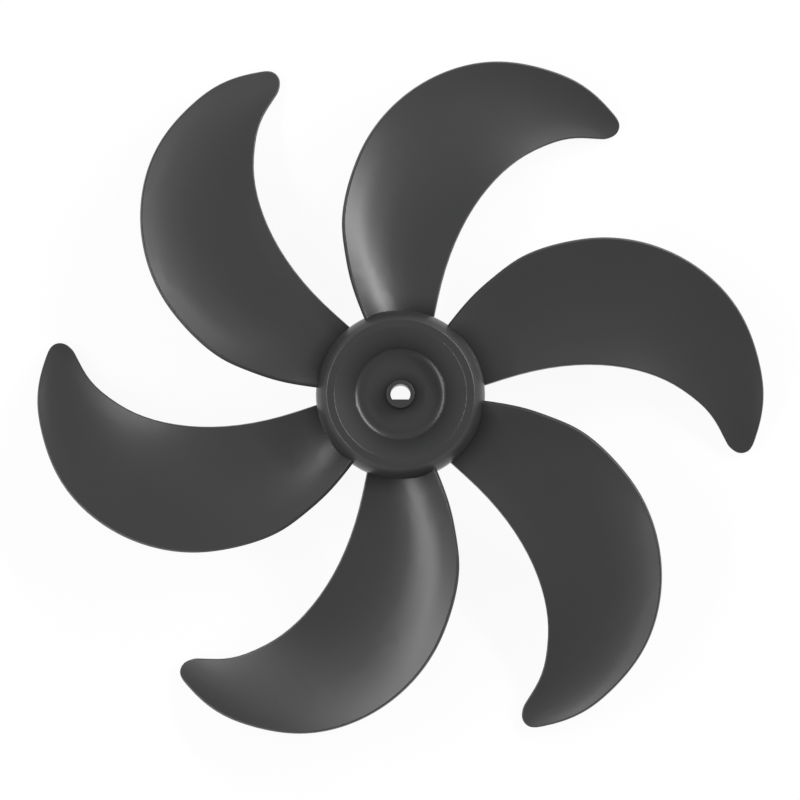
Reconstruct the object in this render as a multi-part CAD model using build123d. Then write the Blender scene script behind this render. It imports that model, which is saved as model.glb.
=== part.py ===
from build123d import *
import math
import os

# Six-bladed propeller of a small fan, moulded in one piece with its hub.
# The spin axis is +Z and the front, which blows, faces up. z = 0 is the back rim of the hub.
# Lengths are millimetres. Angles are degrees about the axis, counted from +X towards +Y.

# Blade
BLADE_COUNT = 6
TIP_DIAMETER = 295.0
ROOT_THICKNESS = 2.6
TIP_THICKNESS = 1.7
EDGE_ROUND = 0.45
STRIP_MARGIN = 9.0  # width of the strip that is trimmed away outside each edge
TRIM_REACH = 2.6  # how far the trimming surface stands out past both faces

# Stations along one blade, from inside the hub outwards. Each point has its share of the span
# (0 at the girth of the hub, 1 at the tip circle), its angle, and its drop below the front rim.
# A row holds the leading edge, the trailing edge, and the depth of the hollow in the front face
# as a share of the chord.
BLADE_STATIONS = [
    ((-0.04, 64.4, 14.8), (-0.04, 116.4, 4.8), 0.125),
    ((0.11, 69.4, 16.4), (0.12, 114.7, 5.5), 0.117),
    ((0.24, 70.3, 17.7), (0.29, 110.5, 6.2), 0.105),
    ((0.37, 69.4, 19.3), (0.45, 105.0, 7.4), 0.092),
    ((0.485, 67.6, 21.4), (0.605, 98.4, 9.8), 0.079),
    ((0.584, 65.4, 24.2), (0.763, 90.0, 13.3), 0.067),
    ((0.674, 62.8, 27.5), (0.872, 82.4, 17.3), 0.058),
    ((0.756, 59.7, 31.0), (0.951, 74.6, 21.9), 0.054),
    ((0.832, 56.1, 34.6), (0.996, 66.0, 27.2), 0.054),
    ((0.886, 52.3, 37.8), (1.006, 57.5, 33.2), 0.058),
]
# The untrimmed strip runs on past the tip to this row.
STRIP_END = ((0.93, 46.5, 40.8), (1.02, 49.5, 39.2), 0.06)

# Rounded tip of the blade
TIP_ROUND = 5.7
TIP_SHARE = 0.937
TIP_ANGLE = 53.0
TIP_HEADING = -24.0
TIP_SPREAD = 70.0

# How many points the trimming surface takes from each stretch of the outline
LEADING_STEPS = 14
TIP_STEPS = 8
TRAILING_STEPS = 18

# Hub
HUB_DIAMETER = 68.2
HUB_HEIGHT = 41.5
HUB_DRAFT = 1.0
HUB_WALL = 2.4
GIRTH_DROP = 10.0
RIM_DIAMETER = 59.2
RIM_WIDTH = 3.0
RIM_THICKNESS = 4.8
RIM_ROUND = 0.5
BACK_ROUND = 0.5

# Dished front of the hub
DISH_DEPTH = 9.0
DISH_FLOOR_DIAMETER = 34.6
DISH_FILLET = 4.0

# Shaft boss and its bore, a round sleeve at the back and D-shaped at the front
BOSS_DIAMETER = 11.4
BOSS_HEIGHT = 4.2
BOSS_ROUND = 0.35
REAR_BOSS_DIAMETER = 15.0
BORE_DIAMETER = 8.0
BORE_ACROSS_FLAT = 6.2
FLAT_LENGTH = 8.0
SLEEVE_DIAMETER = 8.4
SLEEVE_LENGTH = 10.0

# Ribs in the hollow back of the hub
RIB_COUNT = 6
RIB_START = 90.0
RIB_THICKNESS = 2.0
RIB_STEP = 2.0  # how far the ribs stop short of the end of the boss

# Lengths closer than this count as equal
SAME = 0.001

# Sizes that follow from the ones above
HUB_RADIUS = HUB_DIAMETER / 2
SPAN = TIP_DIAMETER / 2 - HUB_RADIUS
GIRTH_HEIGHT = HUB_HEIGHT - GIRTH_DROP
BACK_RADIUS = HUB_RADIUS - GIRTH_HEIGHT * math.tan(math.radians(HUB_DRAFT))
RIM_RADIUS = RIM_DIAMETER / 2
DISH_RADIUS = RIM_RADIUS - RIM_WIDTH
FLOOR_RADIUS = DISH_FLOOR_DIAMETER / 2
FLOOR_HEIGHT = HUB_HEIGHT - DISH_DEPTH
BOSS_RADIUS = BOSS_DIAMETER / 2
BOSS_FRONT = FLOOR_HEIGHT + BOSS_HEIGHT
BOSS_BACK = BOSS_FRONT - FLAT_LENGTH - SLEEVE_LENGTH
REAR_BOSS_RADIUS = REAR_BOSS_DIAMETER / 2
BORE_RADIUS = BORE_DIAMETER / 2


def polar(radius, angle):
    """Point in the plan at a radius and an angle."""
    return Vector(radius * math.cos(math.radians(angle)), radius * math.sin(math.radians(angle)))


def edge_point(share, angle):
    """Point in the plan on an edge of the blade."""
    return polar(HUB_RADIUS + share * SPAN, angle)


def strip_section(leading, trailing, cup, thickness):
    """Upright section through the untrimmed strip, hollow towards the front."""
    start = edge_point(*leading[:2])
    across = edge_point(*trailing[:2]) - start
    chord = across.length
    rise = leading[2] - trailing[2]

    def height(along):
        share = along / chord
        return HUB_HEIGHT - leading[2] + rise * share - 4 * cup * chord * share * (1 - share)

    def slope(along):
        return rise / chord - 4 * cup * (1 - 2 * along / chord)

    first = -STRIP_MARGIN
    last = chord + STRIP_MARGIN
    middle = chord / 2
    knee = height(first) + slope(first) * (middle - first)
    hollow = Bezier((first, height(first)), (middle, knee), (last, height(last)))
    front = Pos(0, thickness / 2) * hollow
    back = Pos(0, -thickness / 2) * hollow
    sides = [Line(front @ 0, back @ 0), Line(front @ 1, back @ 1)]
    plane = Plane(origin=start, x_dir=across, z_dir=across.cross(Vector(0, 0, 1)))
    return plane * make_face([front, back, *sides])


def blade_strip():
    """Twisted and hollowed strip that the blade is trimmed from."""
    rows = BLADE_STATIONS + [STRIP_END]
    taper = (TIP_THICKNESS - ROOT_THICKNESS) / (len(rows) - 1)
    return loft([strip_section(*row, ROOT_THICKNESS + taper * place) for place, row in enumerate(rows)])


def blade_outline():
    """Points in the plan round the blade, from the leading root over the tip to the trailing root."""
    centre = edge_point(TIP_SHARE, TIP_ANGLE)
    turns = [TIP_HEADING - TIP_SPREAD, TIP_HEADING, TIP_HEADING + TIP_SPREAD]
    tip = ThreePointArc(*[centre + polar(TIP_ROUND, turn) for turn in turns])
    leading_points = [edge_point(*row[0][:2]) for row in BLADE_STATIONS]
    trailing_points = [edge_point(*row[1][:2]) for row in reversed(BLADE_STATIONS)]
    leading = Spline(*leading_points, tip @ 0, tangents=[leading_points[1] - leading_points[0], tip % 0])
    trailing = Spline(tip @ 1, *trailing_points, tangents=[tip % 1, trailing_points[-1] - trailing_points[-2]])
    points = []
    for curve, steps in ((leading, LEADING_STEPS), (tip, TIP_STEPS), (trailing, TRAILING_STEPS)):
        points += [curve @ (step / steps) for step in range(steps)]
    return points + [trailing @ 1]


def make_blade():
    """One blade that reaches into the hub, with its edges square to its faces and rounded."""
    strip = blade_strip()
    back = strip.faces().sort_by(SortBy.AREA)[-2:].sort_by(Axis.Z)[0]
    behind = []
    ahead = []
    for point in blade_outline():
        foot, normal = back.find_intersection_points(Axis((point.X, point.Y, -HUB_HEIGHT), (0, 0, 1)))[0]
        upward = normal if normal.Z > 0 else -normal
        behind.append(foot - upward * TRIM_REACH)
        ahead.append(foot + upward * (ROOT_THICKNESS + TRIM_REACH))
    for line in (behind, ahead):
        line.insert(0, line[0] * 2 - line[1])
        line.append(line[-1] * 2 - line[-2])
    fence = Face.make_surface_from_curves(Spline(*behind), Spline(*ahead))
    blade = split(strip, bisect_by=fence, keep=Keep.ALL).solids().sort_by(SortBy.VOLUME)[-1]
    rims = blade.edges().sort_by(SortBy.LENGTH)[-2:]
    return blade.fillet(EDGE_ROUND, rims)


def skin_solid(inset):
    """Solid within the outer skin of the hub, or within that skin moved inwards."""
    skirt = Line((BACK_RADIUS - inset, 0), (HUB_RADIUS - inset, GIRTH_HEIGHT))
    shoulder = TangentArc(skirt @ 1, (RIM_RADIUS - inset, HUB_HEIGHT - inset), tangent=(0, 1))
    cap = Polyline(shoulder @ 1, (0, HUB_HEIGHT - inset), (0, 0), skirt @ 0)
    return revolve(Plane.XZ * make_face([skirt, shoulder, cap]), Axis.Z)


def dish_solid():
    """Space in front of the hub: the dish round the boss."""
    outline = Polyline(
        (0, HUB_HEIGHT),
        (DISH_RADIUS, HUB_HEIGHT),
        (FLOOR_RADIUS, FLOOR_HEIGHT),
        (BOSS_RADIUS, FLOOR_HEIGHT),
        (BOSS_RADIUS, BOSS_FRONT),
        (0, BOSS_FRONT),
        close=True,
    )
    return revolve(Plane.XZ * make_face(outline), Axis.Z)


def hollow_solid():
    """Space behind the hub: inside the skirt, round the rear boss and between the ribs."""
    ceiling = FLOOR_HEIGHT - HUB_WALL
    wall_lean = (DISH_RADIUS - FLOOR_RADIUS) / DISH_DEPTH
    wall_shift = HUB_WALL * math.hypot(1, wall_lean)
    top = HUB_HEIGHT - RIM_THICKNESS
    skirt = Line((BACK_RADIUS - HUB_WALL, 0), (HUB_RADIUS - HUB_WALL, GIRTH_HEIGHT))
    shoulder_radius = (GIRTH_DROP**2 + (HUB_RADIUS - RIM_RADIUS) ** 2) / (2 * (HUB_RADIUS - RIM_RADIUS))
    reach = math.sqrt((shoulder_radius - HUB_WALL) ** 2 - (top - GIRTH_HEIGHT) ** 2)
    shoulder = TangentArc(skirt @ 1, (HUB_RADIUS - shoulder_radius + reach, top), tangent=(0, 1))
    inner = Polyline(
        shoulder @ 1,
        (FLOOR_RADIUS + wall_lean * (top - FLOOR_HEIGHT) + wall_shift, top),
        (FLOOR_RADIUS - wall_lean * HUB_WALL + wall_shift, ceiling),
        (REAR_BOSS_RADIUS, ceiling),
        (REAR_BOSS_RADIUS, BOSS_BACK),
        (0, BOSS_BACK),
        (0, 0),
        skirt @ 0,
    )
    hollow = revolve(Plane.XZ * make_face([skirt, shoulder, inner]), Axis.Z)
    rib = Pos(0, 0, BOSS_BACK + RIB_STEP) * Box(
        HUB_RADIUS, RIB_THICKNESS, HUB_HEIGHT, align=(Align.MIN, Align.CENTER, Align.MIN)
    )
    for place in range(RIB_COUNT):
        hollow -= Rot(0, 0, RIB_START + place * 360 / RIB_COUNT) * rib
    return hollow


def bore_solid():
    """Space for the motor shaft: a round sleeve, then a stretch with a flat."""
    height = BORE_RADIUS - BORE_ACROSS_FLAT
    flat = Pos(0, height) * Rectangle(BORE_DIAMETER, BORE_DIAMETER, align=(Align.CENTER, Align.MAX))
    sleeve = Pos(0, 0, BOSS_BACK) * extrude(Circle(SLEEVE_DIAMETER / 2), SLEEVE_LENGTH)
    flat_part = Pos(0, 0, BOSS_BACK) * extrude(Circle(BORE_RADIUS) - flat, SLEEVE_LENGTH + FLAT_LENGTH)
    return sleeve + flat_part


def ring(part, radius, height):
    """Circular edges of a part at a radius and a height."""
    return [
        edge
        for edge in part.edges().filter_by(GeomType.CIRCLE)
        if abs(edge.radius - radius) < SAME and abs(edge.arc_center.Z - height) < SAME
    ]


def make_hub():
    """Hub with its dished front, shaft boss and hollow back."""
    hub = skin_solid(0) - dish_solid()
    hub = fillet(ring(hub, RIM_RADIUS, HUB_HEIGHT) + ring(hub, DISH_RADIUS, HUB_HEIGHT), RIM_ROUND)
    hub = fillet(ring(hub, FLOOR_RADIUS, FLOOR_HEIGHT), DISH_FILLET)
    hub = fillet(ring(hub, BOSS_RADIUS, BOSS_FRONT), BOSS_ROUND)
    hub -= hollow_solid()
    hub = fillet(ring(hub, BACK_RADIUS, 0) + ring(hub, BACK_RADIUS - HUB_WALL, 0), BACK_ROUND)
    return hub - bore_solid()


def make_fan():
    """Hub and blades as one moulding."""
    blade = make_blade() - skin_solid(HUB_WALL / 2)
    blades = Compound([Rot(0, 0, place * 360 / BLADE_COUNT) * blade for place in range(BLADE_COUNT)])
    return make_hub().fuse(blades)


os.makedirs("parts", exist_ok=True)
export_step(make_fan(), "parts/fan_blade.step")
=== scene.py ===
"""Looks and studio of a fan blade that is moulded in one piece with its hub."""

import math

import bpy
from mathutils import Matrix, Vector

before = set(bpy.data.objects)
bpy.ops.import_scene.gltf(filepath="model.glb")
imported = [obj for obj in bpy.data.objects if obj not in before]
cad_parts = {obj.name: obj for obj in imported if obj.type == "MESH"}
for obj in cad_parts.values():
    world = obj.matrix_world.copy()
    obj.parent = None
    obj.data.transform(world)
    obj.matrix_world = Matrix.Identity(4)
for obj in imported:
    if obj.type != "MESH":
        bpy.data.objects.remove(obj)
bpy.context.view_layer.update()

bl_info = {
    "name": "Moulded Fan Blade",
    "version": (1, 0, 0),
    "blender": (4, 5, 0),
    "location": "View3D > Sidebar > Fan Blade",
    "description": "Finishes a moulded fan blade in satin charcoal plastic and sets it in a white studio",
    "category": "Object",
}

NODE = "fan_blade"

# Plastic
GLOSS = 0.5
PLASTIC_IOR = 1.5
CLOUD_DETAIL = 3.0
GRAIN_DETAIL = 2.0
CORNER_SAMPLES = 8

# Floor
FLOOR_SIDES = 96
COVE_STEPS = 12
COVE_TURN = math.radians(90.0)
SMOOTH_ANGLE = math.radians(30.0)


class FanPlasticSettings(bpy.types.PropertyGroup):
    """Finish of the charcoal plastic"""

    colour: bpy.props.FloatVectorProperty(
        name="Colour",
        description="Charcoal of the plastic",
        subtype="COLOR",
        size=4,
        min=0.0,
        max=1.0,
        default=(0.029, 0.0293, 0.0302, 1.0),
    )
    pale_colour: bpy.props.FloatVectorProperty(
        name="Pale Colour",
        description="Charcoal where the melt has cooled a little paler",
        subtype="COLOR",
        size=4,
        min=0.0,
        max=1.0,
        default=(0.032, 0.0323, 0.0332, 1.0),
    )
    cloud_size: bpy.props.FloatProperty(
        name="Cloud Size",
        description="Size of the pale clouds in the plastic",
        default=0.03,
        min=0.001,
        unit="LENGTH",
    )
    roughness: bpy.props.FloatProperty(
        name="Roughness",
        description="Roughness of the satin plastic where it is smoothest",
        subtype="FACTOR",
        default=0.3,
        min=0.0,
        max=1.0,
    )
    roughness_change: bpy.props.FloatProperty(
        name="Roughness Change",
        description="How much the roughness varies over the surface",
        subtype="FACTOR",
        default=0.03,
        min=0.0,
        max=0.5,
    )
    # Painted shade: the next three settings darken the colour and dim the gloss of the plastic near walls and
    # in corners, where shade falls
    painted_shade_reach: bpy.props.FloatProperty(
        name="Corner Reach",
        description="How far from a wall the plastic in a corner looks darker",
        default=0.008,
        min=0.001,
        unit="LENGTH",
    )
    painted_shade_strength: bpy.props.FloatProperty(
        name="Corner Shade",
        description="How strongly the plastic in a corner darkens",
        default=1.2,
        min=0.0,
        max=5.0,
    )
    painted_shade_gloss: bpy.props.FloatProperty(
        name="Corner Gloss",
        description="Share of the gloss that is left deep in a corner",
        subtype="FACTOR",
        default=0.2,
        min=0.0,
        max=1.0,
    )
    grain_size: bpy.props.FloatProperty(
        name="Grain Size",
        description="Size of the fine grain that the mould leaves",
        default=0.0006,
        min=0.00005,
        unit="LENGTH",
    )
    grain_depth: bpy.props.FloatProperty(
        name="Grain Depth",
        description="Depth of the fine grain that the mould leaves",
        default=0.000004,
        min=0.0,
        unit="LENGTH",
    )


class FanStudioSettings(bpy.types.PropertyGroup):
    """Floor, lamps and camera"""

    floor_colour: bpy.props.FloatVectorProperty(
        name="Floor Colour",
        description="Pale floor and its rising edge",
        subtype="COLOR",
        size=4,
        min=0.0,
        max=1.0,
        default=(0.9, 0.9, 0.9, 1.0),
    )
    floor_white: bpy.props.FloatProperty(
        name="Floor White",
        description="Share of plain white in what the camera sees of the floor",
        subtype="FACTOR",
        default=0.93,
        min=0.0,
        max=1.0,
    )
    floor_radius: bpy.props.FloatProperty(
        name="Floor Radius",
        description="Radius of the flat floor",
        default=3.0,
        min=0.5,
        unit="LENGTH",
    )
    cove_radius: bpy.props.FloatProperty(
        name="Cove Radius",
        description="Radius of the rounded foot of the wall round the floor",
        default=1.0,
        min=0.1,
        unit="LENGTH",
    )
    sky_colour: bpy.props.FloatVectorProperty(
        name="Sky Colour",
        description="Even light from above",
        subtype="COLOR",
        size=4,
        min=0.0,
        max=1.0,
        default=(0.42, 0.42, 0.42, 1.0),
    )
    right_power: bpy.props.FloatProperty(
        name="Right Power",
        description="Power of the right soft box",
        default=12.0,
        min=0.0,
        unit="POWER",
    )
    right_bearing: bpy.props.FloatProperty(
        name="Right Bearing",
        description="Direction of the right soft box from the right-hand side, turning to the back",
        subtype="ANGLE",
        default=math.radians(31.0),
    )
    right_height: bpy.props.FloatProperty(
        name="Right Height",
        description="Angle of the right soft box above the floor",
        subtype="ANGLE",
        default=math.radians(33.0),
    )
    right_length: bpy.props.FloatProperty(
        name="Right Length",
        description="Long side of the right soft box",
        default=1.12,
        min=0.01,
        unit="LENGTH",
    )
    left_power: bpy.props.FloatProperty(
        name="Left Power",
        description="Power of the left soft box",
        default=9.0,
        min=0.0,
        unit="POWER",
    )
    left_bearing: bpy.props.FloatProperty(
        name="Left Bearing",
        description="Direction of the left soft box from the right-hand side, turning to the back",
        subtype="ANGLE",
        default=math.radians(183.0),
    )
    left_height: bpy.props.FloatProperty(
        name="Left Height",
        description="Angle of the left soft box above the floor",
        subtype="ANGLE",
        default=math.radians(43.5),
    )
    left_length: bpy.props.FloatProperty(
        name="Left Length",
        description="Long side of the left soft box",
        default=1.5,
        min=0.01,
        unit="LENGTH",
    )
    lamp_width: bpy.props.FloatProperty(
        name="Lamp Width",
        description="Short side of each soft box",
        default=0.1,
        min=0.01,
        unit="LENGTH",
    )
    lamp_distance: bpy.props.FloatProperty(
        name="Lamp Distance",
        description="Distance of each soft box from the fan",
        default=1.2,
        min=0.1,
        unit="LENGTH",
    )
    lens: bpy.props.FloatProperty(
        name="Lens",
        description="Focal length of the camera in millimetres",
        default=180.0,
        min=1.0,
    )
    camera_distance: bpy.props.FloatProperty(
        name="Camera Distance",
        description="Distance of the camera from the point that it looks at",
        default=1.623,
        min=0.1,
        unit="LENGTH",
    )
    camera_lean: bpy.props.FloatProperty(
        name="Camera Lean",
        description="Angle of the camera from straight above the fan",
        subtype="ANGLE",
        default=math.radians(2.8),
    )
    camera_target: bpy.props.FloatVectorProperty(
        name="Camera Target",
        description="Point that the camera looks at",
        subtype="TRANSLATION",
        size=3,
        default=(-0.00019, -0.00168, 0.0209),
    )


def add_node(tree, kind, values=None, **options):
    """New shader node with its options and the values of its sockets."""
    node = tree.nodes.new(kind)
    for name, value in options.items():
        setattr(node, name, value)
    for socket, value in (values or {}).items():
        node.inputs[socket].default_value = value
    return node


def new_material(name):
    """Empty node material and its output."""
    material = bpy.data.materials.new(name)
    material.use_nodes = True
    material.node_tree.nodes.clear()
    output = add_node(material.node_tree, "ShaderNodeOutputMaterial")
    return material, material.node_tree, output


def charcoal_plastic(settings):
    """Satin plastic with faint clouds and grain, with painted shade that darkens its colour and dims its gloss
    in its corners.
    """
    material, tree, output = new_material("charcoal_plastic")
    link = tree.links.new
    place = add_node(tree, "ShaderNodeTexCoord").outputs["Object"]

    clouds = add_node(tree, "ShaderNodeTexNoise", {"Scale": 1 / settings.cloud_size, "Detail": CLOUD_DETAIL})
    link(place, clouds.inputs["Vector"])
    tint = add_node(tree, "ShaderNodeMix", data_type="RGBA")
    tint.inputs["A"].default_value = settings.colour
    tint.inputs["B"].default_value = settings.pale_colour
    link(clouds.outputs["Fac"], tint.inputs["Factor"])

    rough = add_node(
        tree,
        "ShaderNodeMath",
        {1: settings.roughness_change, 2: settings.roughness},
        operation="MULTIPLY_ADD",
    )
    link(clouds.outputs["Fac"], rough.inputs[0])

    grain = add_node(tree, "ShaderNodeTexNoise", {"Scale": 1 / settings.grain_size, "Detail": GRAIN_DETAIL})
    link(place, grain.inputs["Vector"])
    bump = add_node(tree, "ShaderNodeBump", {"Strength": 1.0, "Distance": settings.grain_depth})
    link(grain.outputs["Fac"], bump.inputs["Height"])

    # Painted shade: ambient occlusion darkens the plastic's colour near walls and in corners
    corner = add_node(
        tree,
        "ShaderNodeAmbientOcclusion",
        {"Distance": settings.painted_shade_reach},
        samples=CORNER_SAMPLES,
    )
    painted_shade_share = add_node(tree, "ShaderNodeMath", {1: settings.painted_shade_strength}, operation="POWER")
    link(corner.outputs["AO"], painted_shade_share.inputs[0])
    painted_shade_colour = add_node(tree, "ShaderNodeVectorMath", operation="SCALE")
    link(tint.outputs["Result"], painted_shade_colour.inputs[0])
    link(painted_shade_share.outputs["Value"], painted_shade_colour.inputs["Scale"])
    # Painted shade: the gloss dims in the same corners
    gloss = add_node(
        tree,
        "ShaderNodeMapRange",
        {"To Min": GLOSS * settings.painted_shade_gloss, "To Max": GLOSS},
    )
    link(painted_shade_share.outputs["Value"], gloss.inputs["Value"])

    plastic = add_node(tree, "ShaderNodeBsdfPrincipled", {"IOR": PLASTIC_IOR})
    link(painted_shade_colour.outputs["Vector"], plastic.inputs["Base Color"])
    link(gloss.outputs["Result"], plastic.inputs["Specular IOR Level"])
    link(rough.outputs["Value"], plastic.inputs["Roughness"])
    link(bump.outputs["Normal"], plastic.inputs["Normal"])
    link(plastic.outputs["BSDF"], output.inputs["Surface"])
    return material


def studio_white(settings):
    """Pale floor that looks white and still takes the shadow of the fan."""
    material, tree, output = new_material("studio_white")
    link = tree.links.new
    paint = add_node(tree, "ShaderNodeBsdfDiffuse", {"Color": settings.floor_colour})
    white = add_node(tree, "ShaderNodeEmission", {"Strength": 1.0})
    path = add_node(tree, "ShaderNodeLightPath")
    seen = add_node(tree, "ShaderNodeMath", operation="MAXIMUM")
    link(path.outputs["Is Camera Ray"], seen.inputs[0])
    link(path.outputs["Is Glossy Ray"], seen.inputs[1])
    shown = add_node(tree, "ShaderNodeMath", operation="MAXIMUM")
    link(seen.outputs["Value"], shown.inputs[0])
    link(path.outputs["Is Transmission Ray"], shown.inputs[1])
    share = add_node(tree, "ShaderNodeMath", {1: settings.floor_white}, operation="MULTIPLY")
    link(shown.outputs["Value"], share.inputs[0])
    mix = add_node(tree, "ShaderNodeMixShader")
    link(share.outputs["Value"], mix.inputs["Fac"])
    link(paint.outputs["BSDF"], mix.inputs[1])
    link(white.outputs["Emission"], mix.inputs[2])
    link(mix.outputs["Shader"], output.inputs["Surface"])
    return material


class FAN_OT_finish_moulding(bpy.types.Operator):
    """Give the moulded fan blade its satin charcoal plastic"""

    bl_idname = "fan.finish_moulding"
    bl_label = "Finish Moulding"

    def execute(self, context):
        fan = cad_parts[NODE]
        fan.data.materials.clear()
        fan.data.materials.append(charcoal_plastic(context.scene.fan_plastic))
        return {"FINISHED"}


class FAN_OT_set_studio(bpy.types.Operator):
    """Lay the white floor, hang the two soft boxes and aim the camera"""

    bl_idname = "fan.set_studio"
    bl_label = "Set Studio"

    def execute(self, context):
        settings = context.scene.fan_studio
        self.lay_floor(settings)
        self.fill_sky(context.scene, settings)
        for side in ("right", "left"):
            self.hang_lamp(settings, side)
        self.aim_camera(context.scene, settings)
        context.scene.view_settings.view_transform = "Standard"
        return {"FINISHED"}

    def lay_floor(self, settings):
        """Round floor whose edge rises into a low wall."""
        bpy.ops.object.select_all(action="DESELECT")
        bpy.ops.mesh.primitive_circle_add(vertices=FLOOR_SIDES, radius=settings.floor_radius, fill_type="NGON")
        floor = bpy.context.object
        floor.name = "floor"
        bpy.ops.object.mode_set(mode="EDIT")
        bpy.ops.mesh.select_all(action="SELECT")
        bpy.ops.mesh.select_mode(type="EDGE")
        bpy.ops.mesh.region_to_loop()
        reach = settings.floor_radius
        rise = 0.0
        for step in range(1, COVE_STEPS + 1):
            turn = COVE_TURN * step / COVE_STEPS
            new_reach = settings.floor_radius + settings.cove_radius * math.sin(turn)
            new_rise = settings.cove_radius * (1 - math.cos(turn))
            bpy.ops.mesh.extrude_region_move(TRANSFORM_OT_translate={"value": (0, 0, new_rise - rise)})
            growth = new_reach / reach
            bpy.ops.transform.resize(value=(growth, growth, 1), center_override=(0, 0, new_rise))
            reach = new_reach
            rise = new_rise
        bpy.ops.object.mode_set(mode="OBJECT")
        bpy.ops.object.shade_smooth_by_angle(angle=SMOOTH_ANGLE)
        floor.data.materials.append(studio_white(settings))

    def fill_sky(self, scene, settings):
        """Even light from the open top of the studio."""
        world = bpy.data.worlds.new("studio_sky")
        world.use_nodes = True
        world.node_tree.nodes["Background"].inputs["Color"].default_value = settings.sky_colour
        scene.world = world

    def hang_lamp(self, settings, side):
        """One soft box beside the fan, facing it."""
        bearing = getattr(settings, side + "_bearing")
        height = getattr(settings, side + "_height")
        level = math.cos(height)
        way = Vector((level * math.cos(bearing), level * math.sin(bearing), math.sin(height)))
        bpy.ops.object.light_add(type="AREA", location=way * settings.lamp_distance)
        lamp = bpy.context.object
        lamp.name = side + "_soft_box"
        lamp.rotation_euler = way.to_track_quat("Z", "Y").to_euler()
        lamp.data.shape = "RECTANGLE"
        lamp.data.size = getattr(settings, side + "_length")
        lamp.data.size_y = settings.lamp_width
        lamp.data.energy = getattr(settings, side + "_power")
        lamp.visible_camera = False

    def aim_camera(self, scene, settings):
        """Camera almost straight above the fan."""
        lean = settings.camera_lean
        back = Vector((0, -math.sin(lean), math.cos(lean)))
        place = Vector(settings.camera_target) + back * settings.camera_distance
        bpy.ops.object.camera_add(location=place, rotation=(lean, 0, 0))
        camera = bpy.context.object
        camera.name = "camera"
        camera.data.lens = settings.lens
        scene.camera = camera


class FAN_PT_panel(bpy.types.Panel):
    """Sidebar of the fan blade"""

    bl_label = "Fan Blade"
    bl_idname = "FAN_PT_panel"
    bl_space_type = "VIEW_3D"
    bl_region_type = "UI"
    bl_category = "Fan Blade"

    def draw(self, context):
        for settings, operator in (
            (context.scene.fan_plastic, FAN_OT_finish_moulding),
            (context.scene.fan_studio, FAN_OT_set_studio),
        ):
            box = self.layout.box()
            for name in settings.__annotations__:
                box.prop(settings, name)
            box.operator(operator.bl_idname)


CLASSES = (
    FanPlasticSettings,
    FanStudioSettings,
    FAN_OT_finish_moulding,
    FAN_OT_set_studio,
    FAN_PT_panel,
)


def register():
    for cls in CLASSES:
        bpy.utils.register_class(cls)
    bpy.types.Scene.fan_plastic = bpy.props.PointerProperty(type=FanPlasticSettings)
    bpy.types.Scene.fan_studio = bpy.props.PointerProperty(type=FanStudioSettings)


def unregister():
    del bpy.types.Scene.fan_studio
    del bpy.types.Scene.fan_plastic
    for cls in reversed(CLASSES):
        bpy.utils.unregister_class(cls)


def main():
    register()
    bpy.ops.fan.finish_moulding()
    bpy.ops.fan.set_studio()


if __name__ == "__main__":
    main()
